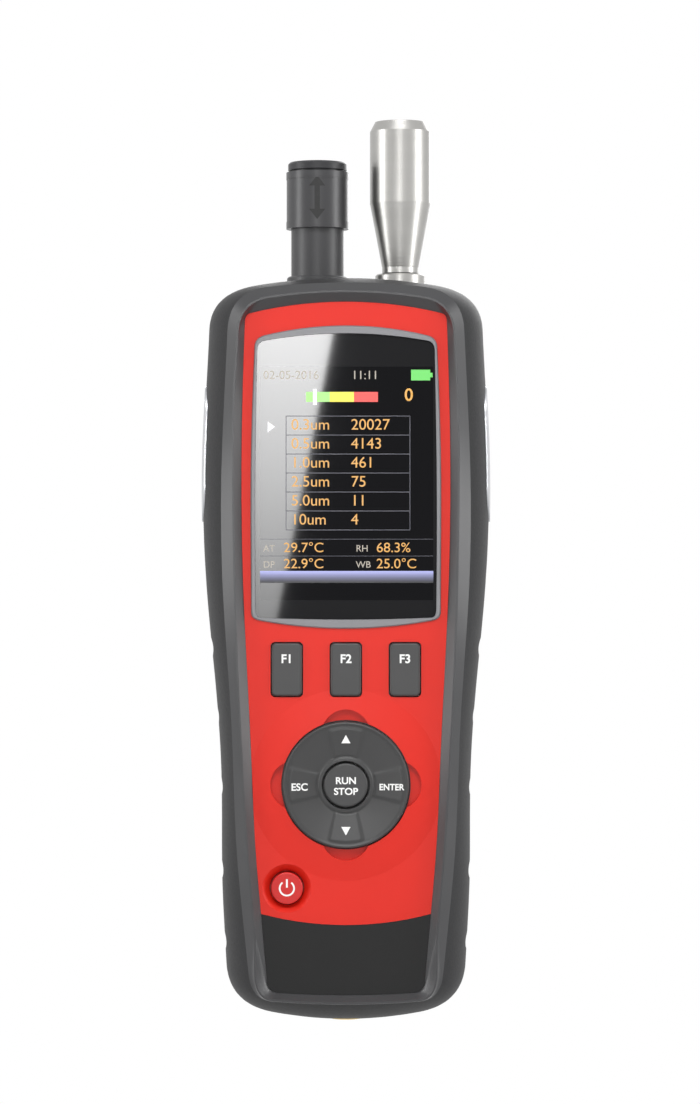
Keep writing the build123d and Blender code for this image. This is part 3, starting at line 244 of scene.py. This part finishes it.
GAUGE = (("green", -10.4, -4.2, (0.35, 0.75, 0.20)), ("yellow", -4.2, 2.1, (0.85, 0.75, 0.05)),
         ("red", 2.1, 8.35, (0.80, 0.05, 0.04)))
for name, low, high, colour in GAUGE:
    bar(f"gauge_{name}", (low, high), (163.3, 165.9), lit_face, glowing(f"lit_gauge_{name}", colour))
bar("gauge_slider", (-8.6, -7.6), (162.5, 166.7), lit_face - PRINT_THICK, WHITE)
words("gauge_level", "0", 16.4, 165.0, lit_face, 3.2, ORANGE)
patch("row_marker", [(-20.4, 158.2), (-18.5, 156.8), (-20.4, 155.4)], lit_face, WHITE)

READINGS = (("0.3um", "20027"), ("0.5um", "4143"), ("1.0um", "461"),
            ("2.5um", "75"), ("5.0um", "11"), ("10um", "4"))
ROW_TOP, ROW_PITCH, ROW_X = 159.6, 4.95, (-15.6, 16.7)
SIZE_X, COUNT_X, ROW_HALF_LINE = -14.3, 1.3, 0.1
for i, (size, count) in enumerate(READINGS):
    top = ROW_TOP - i * ROW_PITCH
    middle = top - ROW_PITCH / 2 + 0.15
    bar(f"row_line_{i}", ROW_X, (top - ROW_HALF_LINE, top + ROW_HALF_LINE), lit_face, ROW_GREY)
    for part, text, x in (("size", size, SIZE_X), ("count", count, COUNT_X)):
        words(f"row_{part}_{i}", text, x, middle, lit_face, 2.8, AMBER, align="LEFT", heavy=0.0, stretch=1.02)
bottom = ROW_TOP - len(READINGS) * ROW_PITCH
bar("row_line_end", ROW_X, (bottom - ROW_HALF_LINE, bottom + ROW_HALF_LINE), lit_face, ROW_GREY)
for i, x in enumerate(ROW_X):
    bar(f"row_side_{i}", (x - ROW_HALF_LINE, x + ROW_HALF_LINE), (bottom, ROW_TOP), lit_face, ROW_GREY)

CLIMATE = (("AT", "29.7°C", -21.6, 125.2), ("RH", "68.3%", 2.6, 125.2),
           ("DP", "22.9°C", -21.6, 121.0), ("WB", "25.0°C", 2.6, 121.0))
for tag, value, x, z in CLIMATE:
    words(f"climate_{tag}", tag, x, z - 0.2, lit_face, 1.7, DIM, align="LEFT", heavy=0.0)
    words(f"climate_{tag}_value", value, x + 5.3, z, lit_face, 2.5, AMBER, align="LEFT",
          heavy=0.0, stretch=1.05)
for i, z in enumerate((127.5, 123.1)):
    bar(f"climate_line_{i}", LCD_X, (z - 0.06, z + 0.06), lit_face, ROW_GREY)

MENU_TOP, MENU_HEIGHT, MENU_STEPS = 119.2, 3.1, 8
for i in range(MENU_STEPS):
    share = (1 - (i + 0.5) / MENU_STEPS) ** 1.6
    top = MENU_TOP - i * MENU_HEIGHT / MENU_STEPS
    colour = (0.40 * share, 0.42 * share, 0.79 * share)
    bar(f"menu_fade_{i}", LCD_X, (top - MENU_HEIGHT / MENU_STEPS, top), lit_face,
        glowing(f"lit_fade_{i}", colour))


# ---------------------------------------------------------------- key labels
KEY_LABEL_Z = 96.2
KEYS = (("F1", "f1_key", "f1"), ("F2", "f2_key", "f2"), ("F3", "f3_key", "f3"))
for text, node, body in KEYS:
    low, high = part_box(node)
    words(f"label_{text}", text, (low.x + high.x) / 2 / MM, KEY_LABEL_Z, front_of(node), 2.2, INK, body,
          heavy=0.08)

ring_low, ring_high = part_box("nav_ring")
RING = Vector(((ring_low.x + ring_high.x) / 2, ring_low.y, (ring_low.z + ring_high.z) / 2)) / MM
RING_R = (ring_high.x - ring_low.x) / 2 / MM
HUB_BORE, HUB_R, HUB_TOP, HUB_SLOPE = 6.25, 7.5, 0.45, 0.5
SKIRT_Y = -19.5             # back of the visible skirt
LIP_DROP = 0.36             # step down from the raised rim to the dish
LIP_RUN = 0.45              # width of that step
RIM_WIDTH = 1.0
RIM_ROUND = 0.35            # rounding outside the rim
DISH_FALL = 0.95            # further fall from the rim to the hub
PETAL_HALF, PETAL_SPREAD, PETAL_EDGE, PETAL_RISE = 3.1, 0.22, 0.7, 0.34


def ring_depth(radius, angle):
    """Depth of the ring's face behind its rim: a dish falling towards the hub, with four raised petals."""
    if radius <= HUB_R:
        return LIP_DROP + DISH_FALL - HUB_TOP * min(max((HUB_R - radius) / HUB_SLOPE, 0.0), 1.0)
    share = min((radius - HUB_R) / (RING_R - RIM_WIDTH - HUB_R), 1.0)
    slope = LIP_DROP + DISH_FALL * (1 - share)
    if radius > RING_R - RIM_WIDTH:
        slope = LIP_DROP * max(1 - (radius - RING_R + RIM_WIDTH) / LIP_RUN, 0.0)
    edge = max(radius - (RING_R - RIM_ROUND), 0.0)
    nearest = (angle + math.pi / 4) % (math.pi / 2) - math.pi / 4
    across = abs(radius * math.sin(nearest))
    width = PETAL_HALF + (radius - 7.0) * PETAL_SPREAD
    lift = min(max((width - across) / PETAL_EDGE, 0.0), 1.0)
    lift = lift * lift * (3 - 2 * lift)
    inside = min(max((RING_R - 1.2 - radius) / 0.6, 0.0), 1.0)
    return slope + 3.2 * edge ** 2 - PETAL_RISE * lift * inside + 0.02


def build_ring():
    """The rocking ring's visible face and skirt."""
    steps, rings = 192, 28
    radii = [HUB_BORE, HUB_BORE + 0.15, HUB_R - HUB_SLOPE, HUB_R - HUB_SLOPE / 2, HUB_R]
    radii += [HUB_R + (RING_R - HUB_R) * (i + 1) / rings for i in range(rings)]
    angles = [2 * math.pi * k / steps for k in range(steps)]
    rounds = [(r, [RING.y + max(ring_depth(r, a), 0.0) for a in angles]) for r in radii]
    rounds += [(r, [SKIRT_Y] * steps) for r in (RING_R, HUB_BORE)]
    vertices, faces = [], []
    for radius, depths in rounds:
        for angle, depth in zip(angles, depths):
            x, z = RING.x + radius * math.cos(angle), RING.z + radius * math.sin(angle)
            vertices.append(Vector((x, depth, z)) * MM)
    rows = [*range(len(radii)), len(radii), len(radii) + 1, 0]
    for a, b in zip(rows, rows[1:]):
        for k in range(steps):
            n = (k + 1) % steps
            faces.append((a * steps + k, a * steps + n, b * steps + n, b * steps + k))
    ring = add_mesh("nav_ring_face", vertices, faces, FINISHES["key_plastic"], "ring", smooth=True)
    face_outwards(ring)
    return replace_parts(ring, "nav_ring")


build_ring()


def lie_on_ring(piece):
    """Drops a thin flat piece, made at the rim's depth, onto the sloping face of the ring."""
    for vertex in piece.data.vertices:
        across, up = vertex.co.x / MM - RING.x, vertex.co.z / MM - RING.z
        vertex.co.y += (ring_depth(math.hypot(across, up), math.atan2(up, across)) - 0.03) * MM


for name, tip in (("up", 1), ("down", -1)):
    z = RING.z + tip * 12.0
    lie_on_ring(patch(f"arrow_{name}", [(-1.2, z - tip * 1.1), (1.2, z - tip * 1.1), (0, z + tip * 1.1)],
                      RING.y, INK, "ring"))


def ring_words(name, text, x, height, stretch):
    """Lettering that follows the slope of a petal."""
    flat = words(name + "_flat", text, x, RING.z - 0.6, RING.y, height, INK, "ring",
                 heavy=0.06, stretch=stretch)
    bpy.context.view_layer.update()
    mesh = bpy.data.meshes.new_from_object(flat.evaluated_get(bpy.context.evaluated_depsgraph_get()))
    mesh.transform(flat.matrix_world)
    bpy.data.objects.remove(flat)
    label = bpy.data.objects.new(name, mesh)
    bpy.context.collection.objects.link(label)
    lie_on_ring(label)
    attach(label, "ring")


ring_words("label_ESC", "ESC", -12.1, 1.85, 1.0)
ring_words("label_ENTER", "ENTER", 11.9, 1.6, 0.95)
centre_y = front_of("run_stop_key")
words("label_RUN", "RUN", 0, RING.z + 1.1, centre_y, 1.75, INK, "run_stop", heavy=0.06, stretch=1.05)
words("label_STOP", "STOP", 0, RING.z - 1.7, centre_y, 1.75, INK, "run_stop", heavy=0.06, stretch=1.05)


def power_sign():
    """A ring open at the top, with a stroke in the gap."""
    low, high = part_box("power_key")
    x, z, depth = (low.x + high.x) / 2 / MM, (low.z + high.z) / 2 / MM, front_of("power_key")
    outer, inner, steps, gap = 2.1, 1.65, 40, math.radians(38)
    angles = [math.pi / 2 + gap + (2 * math.pi - 2 * gap) * i / steps for i in range(steps + 1)]
    rim = [(x + outer * math.cos(a), z + outer * math.sin(a)) for a in angles]
    rim += [(x + inner * math.cos(a), z + inner * math.sin(a)) for a in reversed(angles)]
    patch("power_arc", rim, depth, INK, "power")
    bar("power_stroke", (x - 0.24, x + 0.24), (z + 0.2, z + 2.4), depth, INK, "power")


power_sign()


def sleeve_arrow():
    """The double-headed slide arrow, printed dark and wrapped on the sleeve's front."""
    low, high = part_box("sensor_sleeve")
    cx, cy = (low.x + high.x) / 2 / MM, (low.y + high.y) / 2 / MM
    radius = 8.3            # sleeve, between its ribs
    middle, half, head, wing, shaft = (low.z + high.z) / 2 / MM + 0.3, 5.9, 2.8, 2.15, 0.72
    levels = [0.0, 0.25, 0.5, 0.75, 1.0]
    widths = [(half - head * s, wing * s) for s in levels]
    rows = widths + [(half - head, shaft), (-(half - head), shaft)] + [(-z, w) for z, w in reversed(widths)]
    columns = 8
    vertices, faces = [], []
    for z, width in rows:
        for k in range(columns + 1):
            dx = width * (2 * k / columns - 1)
            turn = math.asin(dx / radius)
            reach = radius + PRINT_THICK
            x, y = cx + reach * math.sin(turn), cy - reach * math.cos(turn)
            vertices.append(Vector((x, y, middle + z)) * MM)
    for r in range(len(rows) - 1):
        for k in range(columns):
            a = r * (columns + 1) + k
            faces.append((a, a + 1, a + columns + 2, a + columns + 1))
    add_mesh("sleeve_arrow", vertices, faces, DARK_INK, "sleeve")


sleeve_arrow()


# ---------------------------------------------------------------- stage, lights and camera
EYE = Vector((0.00107, -0.930, 0.12415))
CARD_BACK = 0.060           # distance of the gloss card behind the camera, in metres


def stage_mesh(name, points, finish):
    mesh = bpy.data.meshes.new(name)
    mesh.from_pydata(points, [], [list(range(len(points)))])
    obj = bpy.data.objects.new(name, mesh)
    bpy.context.collection.objects.link(obj)
    mesh.materials.append(finish)
    return obj


def shown_rays(nodes, links):
    """1 for rays from the camera, off metal and through glass, which all show the white background."""
    path = nodes.new("ShaderNodeLightPath")
    total = path.outputs["Is Camera Ray"]
    for kind in ("Is Glossy Ray", "Is Transmission Ray"):
        either = nodes.new("ShaderNodeMath")
        either.operation = "MAXIMUM"
        links.new(total, either.inputs[0])
        links.new(path.outputs[kind], either.inputs[1])
        total = either.outputs["Value"]
    return total


def pale_floor():
    """White to the camera and in reflections, and a soft pale bounce to everything else."""
    made = bpy.data.materials.new("pale_floor")
    made.use_nodes = True
    nodes, links = made.node_tree.nodes, made.node_tree.links
    shader = nodes["Principled BSDF"]
    shader.inputs["Base Color"].default_value = (0.85, 0.85, 0.85, 1)
    shader.inputs["Roughness"].default_value = 0.9
    white, mix = nodes.new("ShaderNodeEmission"), nodes.new("ShaderNodeMixShader")
    links.new(shown_rays(nodes, links), mix.inputs["Fac"])
    links.new(shader.outputs["BSDF"], mix.inputs[1])
    links.new(white.outputs["Emission"], mix.inputs[2])
    links.new(mix.outputs["Shader"], nodes["Material Output"].inputs["Surface"])
    return made


floor_z = cad_box[0][2] - 0.0005
stage_mesh("floor", [(-6, -6, floor_z), (6, -6, floor_z), (6, 6, floor_z), (-6, 6, floor_z)], pale_floor())


def window_card():
    """A slanting bright card behind the camera, which the flat window mirrors as its gloss."""
    eye, back = EYE / MM, CARD_BACK / MM
    behind = 1.0 + back / -eye.y
    corners = [(-24.5, 183.0), (-3.0, 183.0), (-18.4, 105.0), (-24.5, 105.0)]
    points = []
    for x, z in corners:
        points.append(Vector((x + (x - eye.x) * behind, eye.y - back, z + (z - eye.z) * behind)) * MM)
    made = bpy.data.materials.new("window_card")
    made.use_nodes = True
    nodes, links = made.node_tree.nodes, made.node_tree.links
    nodes.remove(nodes["Principled BSDF"])
    glow = nodes.new("ShaderNodeEmission")
    where = nodes.new("ShaderNodeTexCoord")
    split = nodes.new("ShaderNodeSeparateXYZ")
    fade = nodes.new("ShaderNodeMapRange")
    fade.inputs["From Min"].default_value = min(p.z for p in points)
    fade.inputs["From Max"].default_value = max(p.z for p in points)
    fade.inputs["To Min"].default_value = 26.0
    fade.inputs["To Max"].default_value = 90.0
    links.new(where.outputs["Object"], split.inputs["Vector"])
    links.new(split.outputs["Z"], fade.inputs["Value"])
    links.new(fade.outputs["Result"], glow.inputs["Strength"])
    links.new(glow.outputs["Emission"], nodes["Material Output"].inputs["Surface"])
    card = stage_mesh("window_card", points, made)
    card.visible_camera = False
    card.visible_diffuse = False
    card.visible_shadow = False


window_card()


def area_light(name, place, aim, size, power):
    light = bpy.data.lights.new(name, "AREA")
    light.shape = "RECTANGLE"
    light.size, light.size_y = size
    light.energy = power
    obj = bpy.data.objects.new(name, light)
    bpy.context.collection.objects.link(obj)
    obj.location = place
    obj.rotation_euler = (Vector(aim) - Vector(place)).to_track_quat("-Z", "Y").to_euler()


area_light("top_front", (0.0, -0.60, 0.80), (0, 0, 0.15), (0.6, 0.3), 5.8)
area_light("left", (-0.7, -0.20, 0.25), (0, 0, 0.12), (0.2, 0.7), 2.6)
area_light("right", (0.7, -0.20, 0.25), (0, 0, 0.12), (0.2, 0.7), 3.0)
area_light("back", (0.2, 0.8, 0.5), (0, 0, 0.12), (0.6, 0.5), 3.0)

world = bpy.data.worlds.new("studio")
world.use_nodes = True
nodes, links = world.node_tree.nodes, world.node_tree.links
sky, seen = nodes["Background"], nodes.new("ShaderNodeBackground")
sky.inputs["Color"].default_value = (0.95, 0.96, 1.0, 1)
sky.inputs["Strength"].default_value = 0.34
seen.inputs["Color"].default_value = (1, 1, 1, 1)
seen.inputs["Strength"].default_value = 1.0
mix = nodes.new("ShaderNodeMixShader")
links.new(shown_rays(nodes, links), mix.inputs["Fac"])
links.new(sky.outputs["Background"], mix.inputs[1])
links.new(seen.outputs["Background"], mix.inputs[2])
links.new(mix.outputs["Shader"], nodes["World Output"].inputs["Surface"])
bpy.context.scene.world = world

camera = bpy.data.cameras.new("camera")
camera.sensor_width = 36.0
camera.lens = 113.7
viewpoint = bpy.data.objects.new("camera", camera)
bpy.context.collection.objects.link(viewpoint)
viewpoint.location = EYE
viewpoint.rotation_euler = (math.pi / 2, 0, 0)
bpy.context.scene.camera = viewpoint
bpy.context.scene.view_settings.view_transform = "Standard"
